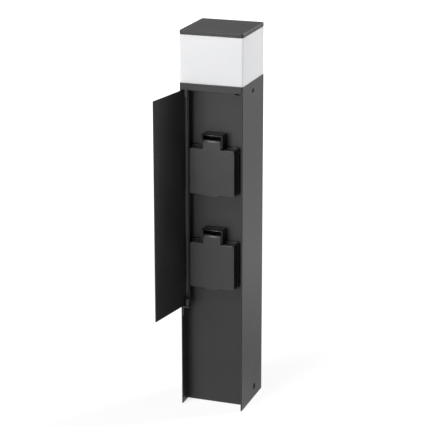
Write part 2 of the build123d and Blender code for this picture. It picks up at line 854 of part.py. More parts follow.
def build_lid_seal(face):
    """Flat ring stuck inside the lid, over the collar's rim."""
    with BuildPart() as seal:
        with BuildSketch(face.offset(collar_front + seat_gap)):
            Circle(seal_outer_radius)
            Circle(seal_inner_radius, mode=Mode.SUBTRACT)
        extrude(amount=seal_thickness)
    return seal


def build_hinge_pin(side):
    """Steel pin across the hinge box."""
    with BuildPart() as pin:
        with BuildSketch(side):
            with Locations((hinge_out, hinge_up)):
                Circle(hinge_pin_radius)
        extrude(amount=hinge_box_width / 2 - hinge_pin_inset, both=True)
    return pin


def build_lid_spring(side):
    """Torsion spring as the sleeve of its close coils, with one leg back to the hinge box."""
    half_coil = spring_turns * spring_wire / 2
    coil_back = hinge_out - spring_radius
    leg_up = hinge_up - spring_drop
    with BuildPart() as spring:
        with BuildSketch(side):
            with Locations((hinge_out, hinge_up)):
                Circle(spring_radius + spring_wire / 2)
                Circle(spring_radius - spring_wire / 2, mode=Mode.SUBTRACT)
        extrude(amount=half_coil, both=True)
        with BuildSketch(side.offset(half_coil - spring_wire)):
            with BuildLine():
                Polyline(
                    (coil_back, hinge_up),
                    (coil_back, leg_up),
                    (gasket_thickness + hinge_box_back + seat_gap, leg_up),
                )
            trace(line_width=spring_wire)
        extrude(amount=spring_wire)
    return spring


for name, centre_z in socket_heights.items():
    face = face_plane(centre_z)
    side = side_plane(centre_z)
    pieces = {
        "socket_body": build_socket_body(face, side),
        "flange_gasket": build_flange_gasket(face),
        "socket_screws": build_socket_screws(face),
        "contact_carrier": build_contact_carrier(face),
        "pin_contacts": build_pin_contacts(face),
        "earth_clip": build_earth_clip(side),
        "terminal_screws": build_terminal_screws(face),
        "shutter": build_shutter(face),
        "lid": build_lid(face, side),
        "lid_seal": build_lid_seal(face),
        "hinge_pin": build_hinge_pin(side),
        "lid_spring": build_lid_spring(side),
    }
    for piece, builder in pieces.items():
        builder.part.label = f"{name}_{piece}"
        export_step(builder.part, f"parts/{name}_{piece}.step")


# Door, drawn about its pivot as if shut, on a plane that is turned to the open position
door_plane = Plane(
    origin=(pivot_x, pivot_y, door_bottom_z),
    x_dir=(cos(radians(door_open_angle)), -sin(radians(door_open_angle)), 0),
    z_dir=(0, 0, 1),
)
with BuildPart() as door_panel:
    with BuildSketch(door_plane):
        with BuildLine():
            Line((door_reach, -door_outer_radius), (0, -door_outer_radius))
            RadiusArc((0, -door_outer_radius), (-door_outer_radius, 0), door_outer_radius)
            Line((-door_outer_radius, 0), (-door_outer_radius, door_lip))
            Line((-door_outer_radius, door_lip), (-door_curl_radius, door_lip))
            Line((-door_curl_radius, door_lip), (-door_curl_radius, 0))
            RadiusArc((-door_curl_radius, 0), (0, -door_curl_radius), -door_curl_radius)
            Line((0, -door_curl_radius), (door_reach, -door_curl_radius))
            Line((door_reach, -door_curl_radius), (door_reach, -door_outer_radius))
        make_face()
    extrude(amount=door_height)
door_panel.part.label = "door_panel"
export_step(door_panel.part, "parts/door_panel.step")

with BuildPart() as door_bushes:
    for height in (0, door_height - bush_length):
        with BuildSketch(door_plane.offset(height)):
            Circle(bush_radius)
            Circle(pivot_pin_radius + running_gap, mode=Mode.SUBTRACT)
        extrude(amount=bush_length)
door_bushes.part.label = "door_bushes"
export_step(door_bushes.part, "parts/door_bushes.step")

bracket_top_z = door_bottom_z - seat_gap
pivot_plane = Plane(origin=(pivot_x, pivot_y, 0))
with BuildPart() as lower_pivot_bracket:
    with BuildSketch(Plane.XY.offset(bracket_top_z)) as plate:
        with Locations((-inner_half, front_y + seat_gap)):
            Rectangle(bracket_length, bracket_width, align=(Align.MIN, Align.MIN))
        fillet(plate.vertices().group_by(Axis.X)[-1], bracket_corner_radius)
        with Locations((pivot_x, pivot_y)):
            Circle(pivot_pin_radius + fixed_gap, mode=Mode.SUBTRACT)
    extrude(amount=-bracket_thickness)
    # tab down the side wall
    with BuildSketch(Plane.XY.offset(bracket_top_z)):
        with Locations((-inner_half, front_y + seat_gap)):
            Rectangle(bracket_tab, bracket_width, align=(Align.MIN, Align.MIN))
    extrude(amount=-bracket_tab_height)
lower_pivot_bracket.part.label = "lower_pivot_bracket"
export_step(lower_pivot_bracket.part, "parts/lower_pivot_bracket.step")

with BuildPart() as lower_pivot_pin:
    with BuildSketch(pivot_plane.offset(bracket_top_z - bracket_thickness)):
        Circle(pivot_pin_radius)
    extrude(amount=bracket_thickness + seat_gap + pivot_pin_reach)
lower_pivot_pin.part.label = "lower_pivot_pin"
export_step(lower_pivot_pin.part, "parts/lower_pivot_pin.step")

upper_pin_end_z = post_height - pivot_bore_end - tray_plate
with BuildPart() as upper_pivot_pin:
    with BuildSketch(pivot_plane.offset(door_top_z - pivot_pin_reach)):
        Circle(pivot_pin_radius)
    extrude(amount=upper_pin_end_z - door_top_z + pivot_pin_reach)
upper_pivot_pin.part.label = "upper_pivot_pin"
export_step(upper_pivot_pin.part, "parts/upper_pivot_pin.step")


# Lamp base
magnet_front_y = front_y + door_sheet + magnet_door_gap
lug_left_x = magnet_left_x - magnet_lug_wall
lug_back_y = magnet_front_y + magnet_depth + magnet_lug_wall
skirt_front_y = web_back_y + tray_gap
with BuildPart() as lamp_base:
    with BuildSketch(Plane.XY.offset(tray_bottom_z)) as tray:
        with Locations((0, (front_y + tray_half) / 2)):
            Rectangle(2 * tray_half, tray_half - front_y)
        fillet(tray.vertices().group_by(Axis.Y)[-1], chamber_corner_radius)
    extrude(amount=tray_plate)
    # front lip
    with BuildSketch(Plane.XY.offset(header_bottom_z)):
        with Locations((0, front_y + header_thickness / 2)):
            Rectangle(2 * tray_half, header_thickness)
        with GridLocations(rib_pitch, 0, 2, 1):
            with Locations((0, (front_y + web_front_y) / 2)):
                Rectangle(rib_thickness, recess_depth - 2 * tray_gap)
        with Locations((pivot_x, pivot_y)):
            Circle(pivot_boss_radius)
    extrude(amount=tray_bottom_z - header_bottom_z)
    # skirt inside the post's chamber
    with BuildSketch(Plane.XY.offset(post_height - skirt_height)):
        with Locations((0, (skirt_front_y + tray_half) / 2)):
            RectangleRounded(2 * tray_half, tray_half - skirt_front_y, chamber_corner_radius)
            Rectangle(
                2 * (tray_half - skirt_wall),
                tray_half - skirt_front_y - 2 * skirt_wall,
                mode=Mode.SUBTRACT,
            )
    extrude(amount=skirt_height - tray_plate)
    # threaded lugs for the locking screws
    for side in (-1, 1):
        with BuildSketch(wall_plane(side, head_screw_y, head_screw_z, half_side - tray_half)):
            Circle(lug_radius)
            Rectangle(2 * lug_radius, tray_bottom_z - head_screw_z, align=(Align.CENTER, Align.MIN))
        extrude(amount=lug_depth)
    with BuildSketch(Plane.YZ):
        with Locations((head_screw_y, head_screw_z)):
            Circle(lock_screw_radius + fixed_gap)
    extrude(amount=half_side, both=True, mode=Mode.SUBTRACT)
    # lug for the catch magnet, open at the front and below
    with BuildSketch(Plane.XY.offset(magnet_bottom_z)):
        with Locations((lug_left_x, magnet_front_y)):
            Rectangle(tray_half - lug_left_x, lug_back_y - magnet_front_y, align=(Align.MIN, Align.MIN))
    extrude(amount=tray_bottom_z - magnet_bottom_z)
    with BuildSketch(Plane.XY.offset(magnet_bottom_z)):
        with Locations((magnet_left_x, magnet_front_y)):
            Rectangle(magnet_width, magnet_depth, align=(Align.MIN, Align.MIN))
    extrude(amount=magnet_height, mode=Mode.SUBTRACT)
    # bore of the upper door pivot
    with BuildSketch(pivot_plane.offset(header_bottom_z)):
        Circle(pivot_pin_radius + fixed_gap)
    extrude(amount=upper_pin_end_z - header_bottom_z, mode=Mode.SUBTRACT)
    # spigot that the diffuser drops over
    with BuildSketch(Plane.XY.offset(post_height)):
        RectangleRounded(2 * spigot_half, 2 * spigot_half, diffuser_corner_radius)
        RectangleRounded(
            2 * (spigot_half - spigot_wall),
            2 * (spigot_half - spigot_wall),
            diffuser_corner_radius / 2,
            mode=Mode.SUBTRACT,
        )
    extrude(amount=spigot_height)
    with BuildSketch(Plane.XY.offset(post_height)):
        with Locations((0, wire_hole_y)):
            Circle(wire_hole_radius)
        with Locations(*tie_places):
            Circle(tie_radius + running_gap)
    extrude(amount=-tray_plate, mode=Mode.SUBTRACT)
lamp_base.part.label = "lamp_base"
export_step(lamp_base.part, "parts/lamp_base.step")

with BuildPart() as catch_magnet:
    with BuildSketch(Plane.XY.offset(magnet_bottom_z)):
        with Locations((magnet_left_x, magnet_front_y)):
            Rectangle(magnet_width, magnet_depth, align=(Align.MIN, Align.MIN))
    extrude(amount=magnet_height)
catch_magnet.part.label = "catch_magnet"
export_step(catch_magnet.part, "parts/catch_magnet.step")


# Lamp head
with BuildPart() as diffuser_gasket:
    with BuildSketch(Plane.XY.offset(post_height)):
        outer = spigot_half + seat_gap + gasket_ring_width
        RectangleRounded(2 * outer, 2 * outer, diffuser_corner_radius)
        RectangleRounded(
            2 * (spigot_half + ring_gap),
            2 * (spigot_half + ring_gap),
            diffuser_corner_radius,
            mode=Mode.SUBTRACT,
        )
    extrude(amount=gasket_ring_height)
diffuser_gasket.part.label = "diffuser_gasket"
export_step(diffuser_gasket.part, "parts/diffuser_gasket.step")

with BuildPart() as diffuser:
    with BuildSketch(Plane.XY.offset(post_height)):
        RectangleRounded(post_side, post_side, diffuser_corner_radius)
        Rectangle(post_side - 2 * diffuser_wall, post_side - 2 * diffuser_wall, mode=Mode.SUBTRACT)
    extrude(amount=diffuser_height)
    rims = diffuser.faces().filter_by(Axis.Z)
    chamfer(rims.sort_by(Axis.Z)[-1].outer_wire().edges(), diffuser_edge_chamfer)
    chamfer(rims.sort_by(Axis.Z)[0].outer_wire().edges(), diffuser_edge_chamfer)
    # rebate over the gasket
    with BuildSketch(Plane.XY.offset(post_height)):
        rebate = spigot_half + seat_gap + gasket_ring_width + ring_gap
        RectangleRounded(2 * rebate, 2 * rebate, diffuser_corner_radius)
    extrude(amount=gasket_ring_height + ring_gap, mode=Mode.SUBTRACT)
diffuser.part.label = "diffuser"
export_step(diffuser.part, "parts/diffuser.step")

with BuildPart() as top_cap:
    with BuildSketch(Plane.XY.offset(lamp_top_z)):
        RectangleRounded(post_side, post_side, diffuser_corner_radius)
    extrude(amount=cap_thickness)
    fillet(top_cap.faces().sort_by(Axis.Z)[-1].edges(), cap_edge_fillet)
    chamfer(top_cap.faces().sort_by(Axis.Z)[0].edges(), cap_underside_chamfer)
    with BuildSketch(Plane.XY.offset(lamp_top_z)):
        RectangleRounded(2 * spigot_half, 2 * spigot_half, diffuser_corner_radius)
        Rectangle(
            2 * (spigot_half - spigot_wall),
            2 * (spigot_half - spigot_wall),
            mode=Mode.SUBTRACT,
        )
    extrude(amount=-spigot_height)
    with BuildSketch(Plane.XY.offset(lamp_top_z)):
        with Locations(*tie_places):
            Circle(tie_boss_radius)
    extrude(amount=-tie_boss_height)
    with BuildSketch(Plane.XY.offset(lamp_top_z - tie_boss_height)):
        with Locations(*tie_places):
            Circle(tie_radius + fixed_gap)
    extrude(amount=tie_thread, mode=Mode.SUBTRACT)
top_cap.part.label = "top_cap"
export_step(top_cap.part, "parts/top_cap.step")

with BuildPart() as tie_screws:
    with BuildSketch(Plane.XY.offset(tray_bottom_z)):
        with Locations(*tie_places):
            Circle(tie_radius)
    extrude(amount=lamp_top_z - tie_boss_height + tie_thread - seat_gap - tray_bottom_z)
    with BuildSketch(Plane.XY.offset(tray_bottom_z)):
        with Locations(*tie_places):
            Circle(tie_head_radius)
    extrude(amount=-tie_head)
tie_screws.part.label = "tie_screws"
export_step(tie_screws.part, "parts/tie_screws.step")

with BuildPart() as led_board:
    with BuildSketch(Plane.XY.offset(post_height)):
        Circle(board_radius)
    extrude(amount=board_thickness)
led_board.part.label = "led_board"
export_step(led_board.part, "parts/led_board.step")

with BuildPart() as led_chips:
    with BuildSketch(Plane.XY.offset(post_height + board_thickness)):
        with GridLocations(chip_pitch, chip_pitch, chip_rows, chip_rows):
            Rectangle(chip_side, chip_side)
    extrude(amount=chip_height)
led_chips.part.label = "led_chips"
export_step(led_chips.part, "parts/led_chips.step")

with BuildPart() as led_driver:
    with BuildSketch(Plane.XY.offset(driver_bottom_z)):
        with Locations((0, driver_mid_y)):
            RectangleRounded(driver_width, driver_depth, driver_corner_radius)
    extrude(amount=driver_height)
led_driver.part.label = "led_driver"
export_step(led_driver.part, "parts/led_driver.step")
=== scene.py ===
"""Looks of a garden socket post: finishes, wound lid springs, studio and camera."""

import json
import logging
import math
from dataclasses import dataclass
from enum import Enum

import bpy
from mathutils import Matrix, Vector


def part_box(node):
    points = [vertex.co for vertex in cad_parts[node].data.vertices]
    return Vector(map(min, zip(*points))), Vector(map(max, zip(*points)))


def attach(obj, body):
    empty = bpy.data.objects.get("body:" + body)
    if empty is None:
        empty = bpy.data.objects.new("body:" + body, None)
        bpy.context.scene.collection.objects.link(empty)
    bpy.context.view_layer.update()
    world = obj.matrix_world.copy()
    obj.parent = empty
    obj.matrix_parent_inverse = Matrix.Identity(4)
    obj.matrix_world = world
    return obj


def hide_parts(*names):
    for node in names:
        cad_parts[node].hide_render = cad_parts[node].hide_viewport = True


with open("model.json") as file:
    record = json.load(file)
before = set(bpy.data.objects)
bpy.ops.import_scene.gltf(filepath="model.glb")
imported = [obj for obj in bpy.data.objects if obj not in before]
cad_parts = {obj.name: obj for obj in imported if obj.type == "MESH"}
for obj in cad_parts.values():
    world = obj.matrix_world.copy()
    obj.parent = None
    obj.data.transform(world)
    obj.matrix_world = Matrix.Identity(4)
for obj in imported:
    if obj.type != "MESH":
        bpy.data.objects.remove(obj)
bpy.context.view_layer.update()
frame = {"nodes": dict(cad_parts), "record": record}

log = logging.getLogger("socket_post")

Pair = tuple[float, float]
Triple = tuple[float, float, float]
Value = float | tuple | bpy.types.NodeSocket
MM = 0.001

# Modifiers that round edges
WELD_REACH = 0.002 * MM
FLAT_ANGLE = math.radians(0.4)
SHARP_ANGLE = math.radians(40)
EDGE_SEGMENTS = 2

# The Mix node's sockets for colours, by number because its other sockets share their names
MIX_FACTOR = 0
MIX_FIRST = 6
MIX_SECOND = 7
MIX_COLOUR = 2

# Linear colours
WHITE: Triple = (1.0, 1.0, 1.0)
DUST_GREY: Triple = (0.2, 0.195, 0.185)
ANTHRACITE: Triple = (0.0222, 0.0222, 0.0225)
LID_GREY: Triple = (0.032, 0.032, 0.0324)
BODY_BLACK: Triple = (0.009, 0.009, 0.0092)
OPAL_WHITE: Triple = (0.84, 0.845, 0.86)
# Painted glow on the opal's edges and corners, lighter than its body
OPAL_PAINTED_GLOW: Triple = (0.97, 0.975, 0.98)
BRACKET_GREY: Triple = (0.62, 0.63, 0.64)
STEEL_GREY: Triple = (0.56, 0.56, 0.57)
OXIDE_BLACK: Triple = (0.02, 0.02, 0.021)
RUBBER_BLACK: Triple = (0.02, 0.02, 0.021)
BRASS_YELLOW: Triple = (0.72, 0.55, 0.25)
CARRIER_IVORY: Triple = (0.66, 0.64, 0.57)
BOX_GREY: Triple = (0.45, 0.46, 0.47)
SHUTTER_GREY: Triple = (0.05, 0.05, 0.053)
SHEATH_BLACK: Triple = (0.028, 0.028, 0.028)
BUSH_GREY: Triple = (0.04, 0.04, 0.042)
FERRITE_BLACK: Triple = (0.008, 0.008, 0.009)
BOARD_WHITE: Triple = (0.8, 0.81, 0.8)
PHOSPHOR_YELLOW: Triple = (0.85, 0.68, 0.16)

# Lines per metre across each axis of bare metal
EVEN_LINES: Triple = (1800.0, 1800.0, 1800.0)
LINES_ALONG_X: Triple = (60.0, 2400.0, 2400.0)


class Edge(Enum):
    """How far a piece's sharp edges are rounded, in metres."""

    CASTING = 0.5 * MM
    SHELL = 0.45 * MM
    FOLD = 0.3 * MM
    MOULDING = 0.2 * MM
    PLATE = 0.15 * MM
    FINE = 0.1 * MM


class Level(Enum):
    """The two sockets, by the names that their pieces start with."""

    LOWER = "lower"
    UPPER = "upper"


def opaque(colour: Triple, scale: float = 1.0) -> tuple[float, float, float, float]:
    """Linear red, green and blue times a brightness factor, with alpha 1."""
    return (colour[0] * scale, colour[1] * scale, colour[2] * scale, 1.0)


class Graph:
    """Short calls that add and join the nodes of one tree."""

    def __init__(self, tree: bpy.types.NodeTree) -> None:
        """Keeps the tree of a material, group or world."""
        self.tree = tree

    def add(self, kind: str, inputs: dict | None = None, **settings: object) -> bpy.types.Node:
        """Adds one node.

        Args:
            kind: Blender's name for the node's type.
            inputs: a constant or a socket for each named or numbered input.
            settings: the node's own properties.

        Returns:
            The new node.
        """
        node = self.tree.nodes.new(kind)
        for name, value in settings.items():
            setattr(node, name, value)
        for key, value in (inputs or {}).items():
            if isinstance(value, bpy.types.NodeSocket):
                self.tree.links.new(value, node.inputs[key])
            else:
                node.inputs[key].default_value = value
        return node

    def point(self) -> bpy.types.NodeSocket:
        """Adds the shaded point, in the object's own metres."""
        return self.add("ShaderNodeTexCoord").outputs["Object"]

    def math(
        self, operation: str, first: Value, second: Value = 0.0, clamp: bool = False
    ) -> bpy.types.NodeSocket:
        """Joins two values by one operation, kept between 0 and 1 where clamp is set."""
        node = self.add("ShaderNodeMath", {0: first, 1: second}, operation=operation, use_clamp=clamp)
        return node.outputs[0]

    def remap(
        self, value: Value, low: float, high: float, start: float = 0.0, end: float = 1.0
    ) -> bpy.types.NodeSocket:
        """Spreads a value smoothly between two others.

        Args:
            value: the value to spread.
            low: result at the start.
            high: result at the end.
            start: value that gives low.
            end: value that gives high.

        Returns:
            The result's socket.
        """
        places = {"Value": value, "From Min": start, "From Max": end, "To Min": low, "To Max": high}
        node = self.add("ShaderNodeMapRange", places, interpolation_type="SMOOTHSTEP")
        return node.outputs["Result"]

    def noise(
        self, place: Value, scale: Value, detail: float, roughness: float = 0.5
    ) -> bpy.types.NodeSocket:
        """Adds a noise by its cells per metre, its finer layers and how strong these are."""
        inputs = {"Vector": place, "Scale": scale, "Detail": detail, "Roughness": roughness}
        return self.add("ShaderNodeTexNoise", inputs).outputs["Fac"]

    def bump(self, height: Value, strength: float, depth: float) -> bpy.types.NodeSocket:
        """Turns a height between 0 and 1 into a bumped normal, with its depth in metres."""
        node = self.add("ShaderNodeBump", {"Strength": strength, "Distance": depth, "Height": height})
        return node.outputs["Normal"]

    def blend(self, factor: Value, first: Value, second: Value) -> bpy.types.NodeSocket:
        """Mixes two colours, where the factor is the second one's share."""
        inputs = {MIX_FACTOR: factor, MIX_FIRST: first, MIX_SECOND: second}
        return self.add("ShaderNodeMix", inputs, data_type="RGBA").outputs[MIX_COLOUR]

    def shade(self, tone: Value, colour: Triple, low: float, high: float) -> bpy.types.NodeSocket:
        """Spreads a colour's brightness from one factor at tone 0 to another at tone 1."""
        return self.blend(tone, opaque(colour, low), opaque(colour, high))

    def mix(self, factor: Value, first: bpy.types.Node, second: bpy.types.Node) -> bpy.types.Node:
        """Mixes two shaders, where the factor is the second one's share."""
        return self.add("ShaderNodeMixShader", {0: factor, 1: first.outputs[0], 2: second.outputs[0]})

    def group(self, tree: bpy.types.NodeTree, **inputs: float) -> bpy.types.Node:
        """Places a node group.

        Args:
            tree: the group.
            inputs: a value for each named input.

        Returns:
            The group's node.
        """
        node = self.tree.nodes.new("ShaderNodeGroup")
        node.node_tree = tree
        for name, value in inputs.items():
            node.inputs[name].default_value = value
        return node

    def feed(self, shader: bpy.types.Node, **sockets: bpy.types.NodeSocket) -> None:
        """Joins results to a shader's inputs, which are named with _ in place of spaces."""
        for name, socket in sockets.items():
            self.tree.links.new(socket, shader.inputs[name.replace("_", " ")])


def start_group(name: str, *labels: str) -> tuple[Graph, bpy.types.Node]:
    """Starts a shader node group.

    Args:
        name: the group's name.
        labels: the names of its input values.

    Returns:
        The graph and its input node.
    """
    tree = bpy.data.node_groups.new(name, "ShaderNodeTree")
    for label in labels:
        tree.interface.new_socket(name=label, in_out="INPUT", socket_type="NodeSocketFloat")
    graph = Graph(tree)
    return graph, graph.add("NodeGroupInput")


def end_group(graph: Graph, **results: bpy.types.NodeSocket) -> bpy.types.NodeTree:
    """Gives a group its outputs.

    Args:
        graph: the group's graph.
        results: the result that each output carries.

    Returns:
        The finished group.
    """
    for label in results:
        graph.tree.interface.new_socket(name=label, in_out="OUTPUT", socket_type="NodeSocketFloat")
    end = graph.add("NodeGroupOutput")
    for label, socket in results.items():
        graph.tree.links.new(socket, end.inputs[label])
    return graph.tree


@dataclass(frozen=True)
class GrainEffect:
    """Fine grain over a slow drift: a tone for the colour and a height for the bump."""

    fine_detail: float = 2.0
    fine_roughness: float = 0.55
    mottle_ratio: float = 0.28
    mottle_detail: float = 1.0
    drift_detail: float = 4.0
    drift_roughness: float = 0.6
    fine_height: float = 0.7
    cell_height: float = 0.3
    fine_tone: float = 0.2
    mottle_tone: float = 0.4
    drift_tone: float = 0.4

    def build(self) -> bpy.types.NodeTree:
        """Builds the group.

        Returns:
            The group.
        """
        graph, start = start_group("fine_grain", "grain_scale", "drift_scale")
        place = graph.point()
        scale = start.outputs["grain_scale"]
        mottle_scale = graph.math("MULTIPLY", scale, self.mottle_ratio)
        fine = graph.noise(place, scale, self.fine_detail, self.fine_roughness)
        cells = graph.add("ShaderNodeTexVoronoi", {"Vector": place, "Scale": scale}).outputs["Distance"]
        mottle = graph.noise(place, mottle_scale, self.mottle_detail)
        drift = graph.noise(place, start.outputs["drift_scale"], self.drift_detail, self.drift_roughness)
        fine_height = graph.math("MULTIPLY", fine, self.fine_height)
        cell_height = graph.math("MULTIPLY", cells, self.cell_height)
        fine_tone = graph.math("MULTIPLY", fine, self.fine_tone)
        mottle_tone = graph.math("MULTIPLY", mottle, self.mottle_tone)
        drift_tone = graph.math("MULTIPLY", drift, self.drift_tone)
        near_tone = graph.math("ADD", fine_tone, mottle_tone)
        return end_group(
            graph,
            tone=graph.math("ADD", near_tone, drift_tone, True),
            height=graph.math("ADD", fine_height, cell_height, True),
        )


@dataclass(frozen=True)
class EdgeLighteningEffect:
    """Mask of the edges, broken up by noise."""

    samples: int = 4
    break_detail: float = 3.0

    def build(self) -> bpy.types.NodeTree:
        """Builds the group.

        Returns:
            The group.
        """
        graph, start = start_group("lighter_edge_mask", "radius", "gain", "break_scale")
        rounded = graph.add("ShaderNodeBevel", {"Radius": start.outputs["radius"]}, samples=self.samples)
        true = graph.add("ShaderNodeNewGeometry")
        normals = {0: rounded.outputs["Normal"], 1: true.outputs["Normal"]}
        alike = graph.add("ShaderNodeVectorMath", normals, operation="DOT_PRODUCT")
        turned = graph.math("SUBTRACT", 1.0, alike.outputs["Value"])
        broken = graph.noise(graph.point(), start.outputs["break_scale"], self.break_detail)
        # The mask lightens edges: scuffs with a painted highlight on paint and plastic, a painted glow on
        # opal
        worn_and_highlighted = graph.math("MULTIPLY", turned, start.outputs["gain"])
        return end_group(graph, mask=graph.math("MULTIPLY", worn_and_highlighted, broken, True))


@dataclass(frozen=True)
class DustEffect:
    """Mask of dust on faces that look up and of splashes near the ground."""

    fleck_scale: float = 420.0
    fleck_detail: float = 5.0
    fleck_roughness: float = 0.7
    settled_share: float = 0.6
    splashed_share: float = 0.5

    def build(self) -> bpy.types.NodeTree:
        """Builds the group.

        Returns:
            The group.
        """
        graph, start = start_group("settled_dust", "amount", "splash_height")
        normal = graph.add("ShaderNodeNewGeometry").outputs["Normal"]
        upward = graph.add("ShaderNodeSeparateXYZ", {"Vector": normal}).outputs["Z"]
        place = graph.point()
        height = graph.add("ShaderNodeSeparateXYZ", {"Vector": place}).outputs["Z"]
        near_ground = graph.math("DIVIDE", height, start.outputs["splash_height"])
        low = graph.math("SUBTRACT", 1.0, near_ground, True)
        flecks = graph.noise(place, self.fleck_scale, self.fleck_detail, self.fleck_roughness)
        settled = graph.math("MULTIPLY", upward, self.settled_share, True)
        splashed = graph.math("MULTIPLY", low, self.splashed_share)
        spread = graph.math("MULTIPLY", graph.math("MAXIMUM", settled, splashed), flecks)
        return end_group(graph, mask=graph.math("MULTIPLY", spread, start.outputs["amount"], True))


@dataclass(frozen=True)
class StreakEffect:
    """Fine lines along one axis, as drawn, rolled or turned metal has."""

    detail: float = 3.0

    def build(self) -> bpy.types.NodeTree:
        """Builds the group.

        Returns:
            The group.
        """
        graph, start = start_group("metal_streaks", "across_x", "across_y", "across_z")
        axes = {axis: start.outputs[f"across_{axis.lower()}"] for axis in "XYZ"}
        stretch = {0: graph.point(), 1: graph.add("ShaderNodeCombineXYZ", axes).outputs["Vector"]}
        stretched = graph.add("ShaderNodeVectorMath", stretch, operation="MULTIPLY").outputs["Vector"]
        return end_group(graph, tone=graph.noise(stretched, 1.0, self.detail))


GRAIN = GrainEffect().build()
EDGE_LIGHTENING = EdgeLighteningEffect().build()
DUST = DustEffect().build()
STREAKS = StreakEffect().build()


@dataclass(frozen=True)
class Grain:
    """One finish's grain: cells per metre, slow cells per metre, and its bump."""

    scale: float
    drift: float
    strength: float
    depth: float

    def place(self, graph: Graph) -> tuple[bpy.types.NodeSocket, bpy.types.NodeSocket]:
        """Adds the grain to a finish, and gives its tone and its bumped normal."""
        grain = graph.group(GRAIN, grain_scale=self.scale, drift_scale=self.drift)
        return grain.outputs["tone"], graph.bump(grain.outputs["height"], self.strength, self.depth)


@dataclass(frozen=True)
class EdgeLightening:
    """Lighter edges of a finish, scuffed and painted light: their width, strength and breaking noise."""

    radius: float
    gain: float
    break_scale: float

    def place(self, graph: Graph) -> bpy.types.NodeSocket:
        """Adds the lighter edges, scuffed and painted light, to a finish, and gives their mask."""
        edge = graph.group(EDGE_LIGHTENING, radius=self.radius, gain=self.gain, break_scale=self.break_scale)
        return edge.outputs["mask"]


def start_material(name: str) -> tuple[bpy.types.Material, Graph, bpy.types.Node]:
    """Makes a material that holds one Principled shader.

    Args:
        name: the finish's name.

    Returns:
        The material, its graph and the shader's node.
    """
    material = bpy.data.materials.new(f"{name}_finish")
    material.use_nodes = True
    graph = Graph(material.node_tree)
    return material, graph, material.node_tree.nodes["Principled BSDF"]


@dataclass(frozen=True)
class PowderCoat:
    """Fine textured powder coat over extruded, folded or cast aluminium."""

    name: str
    colour: Triple
    roughness: float
    roughness_spread: float = 0.07
    tone_spread: float = 0.45
    grain: Grain = Grain(scale=2300.0, drift=14.0, strength=0.55, depth=0.03 * MM)
    lighter_edges: EdgeLightening = EdgeLightening(radius=0.8 * MM, gain=3.2, break_scale=120.0)
    # Brightness of the edges: scuffs through the coat and a painted highlight
    edge_wear_and_highlight: float = 3.2
    dust: float = 0.12
    splash_height: float = 45.0 * MM

    def build(self) -> bpy.types.Material:
        """Builds the material.

        Returns:
            The material.
        """
        material, graph, shader = start_material(self.name)
        tone, normal = self.grain.place(graph)
        coat = graph.shade(tone, self.colour, 1 - self.tone_spread, 1 + self.tone_spread)
        # Edges lighter: scuffs through the coat and a painted highlight along them
        rubbed_and_highlighted = graph.blend(self.lighter_edges.place(graph), coat, opaque(self.colour, self.edge_wear_and_highlight))
        dust = graph.group(DUST, amount=self.dust, splash_height=self.splash_height)
        dusty = graph.blend(dust.outputs["mask"], rubbed_and_highlighted, opaque(DUST_GREY))
        spread = self.roughness_spread
        rough = graph.remap(tone, self.roughness + spread, self.roughness - spread)
        graph.feed(shader, Base_Color=dusty, Roughness=rough, Normal=normal)
        return material


@dataclass(frozen=True)
class MouldedPlastic:
    """Injection moulded plastic with a fine spark-eroded grain."""

    name: str
    colour: Triple
    roughness: float
    gloss: float = 0.5
    roughness_spread: float = 0.06
    tone_spread: float = 0.2
    grain: Grain = Grain(scale=4200.0, drift=45.0, strength=0.5, depth=0.015 * MM)
    lighter_edges: EdgeLightening = EdgeLightening(radius=0.35 * MM, gain=1.2, break_scale=400.0)
    # Brightness of the edges: scuffs on the moulding and a painted highlight
    edge_wear_and_highlight: float = 2.4

    def build(self) -> bpy.types.Material:
        """Builds the material.

        Returns:
            The material.
        """
        material, graph, shader = start_material(self.name)
        shader.inputs["Specular IOR Level"].default_value = self.gloss
        tone, normal = self.grain.place(graph)
        body = graph.shade(tone, self.colour, 1 - self.tone_spread, 1 + self.tone_spread)
        # Edges lighter: scuffs on the moulding and a painted highlight along them
        worn_and_highlighted = graph.blend(self.lighter_edges.place(graph), body, opaque(self.colour, self.edge_wear_and_highlight))
        spread = self.roughness_spread
        rough = graph.remap(tone, self.roughness - spread, self.roughness + spread)
        graph.feed(shader, Base_Color=worn_and_highlighted, Roughness=rough, Normal=normal)
        return material


@dataclass(frozen=True)
class OpalPlastic:
    """Opal acrylic that light soaks into, with a painted glow that lightens its edges and corners."""

    name: str
    colour: Triple
    painted_glow: Triple
    soak: float = 0.5
    soak_depth: float = 6.0 * MM
    soak_radii: Triple = (1.0, 1.0, 1.0)
    tones: Pair = (0.975, 1.02)
    roughnesses: Pair = (0.26, 0.36)
    grain: Grain = Grain(scale=900.0, drift=22.0, strength=0.25, depth=0.02 * MM)
    # Mask of the painted glow along the opal's edges and corners
    lighter_edges: EdgeLightening = EdgeLightening(radius=1.5 * MM, gain=9.0, break_scale=60.0)

    def build(self) -> bpy.types.Material:
        """Builds the material.

        Returns:
            The material.
        """
        material, graph, shader = start_material(self.name)
        shader.inputs["Subsurface Weight"].default_value = self.soak
        shader.inputs["Subsurface Scale"].default_value = self.soak_depth
        shader.inputs["Subsurface Radius"].default_value = self.soak_radii
        tone, normal = self.grain.place(graph)
        body = graph.shade(tone, self.colour, *self.tones)
        # Edges and corners painted lighter, as a painted glow
        with_painted_glow = graph.blend(self.lighter_edges.place(graph), body, opaque(self.painted_glow))
        rough = graph.remap(tone, *self.roughnesses)
        graph.feed(shader, Base_Color=with_painted_glow, Roughness=rough, Normal=normal)
        return material


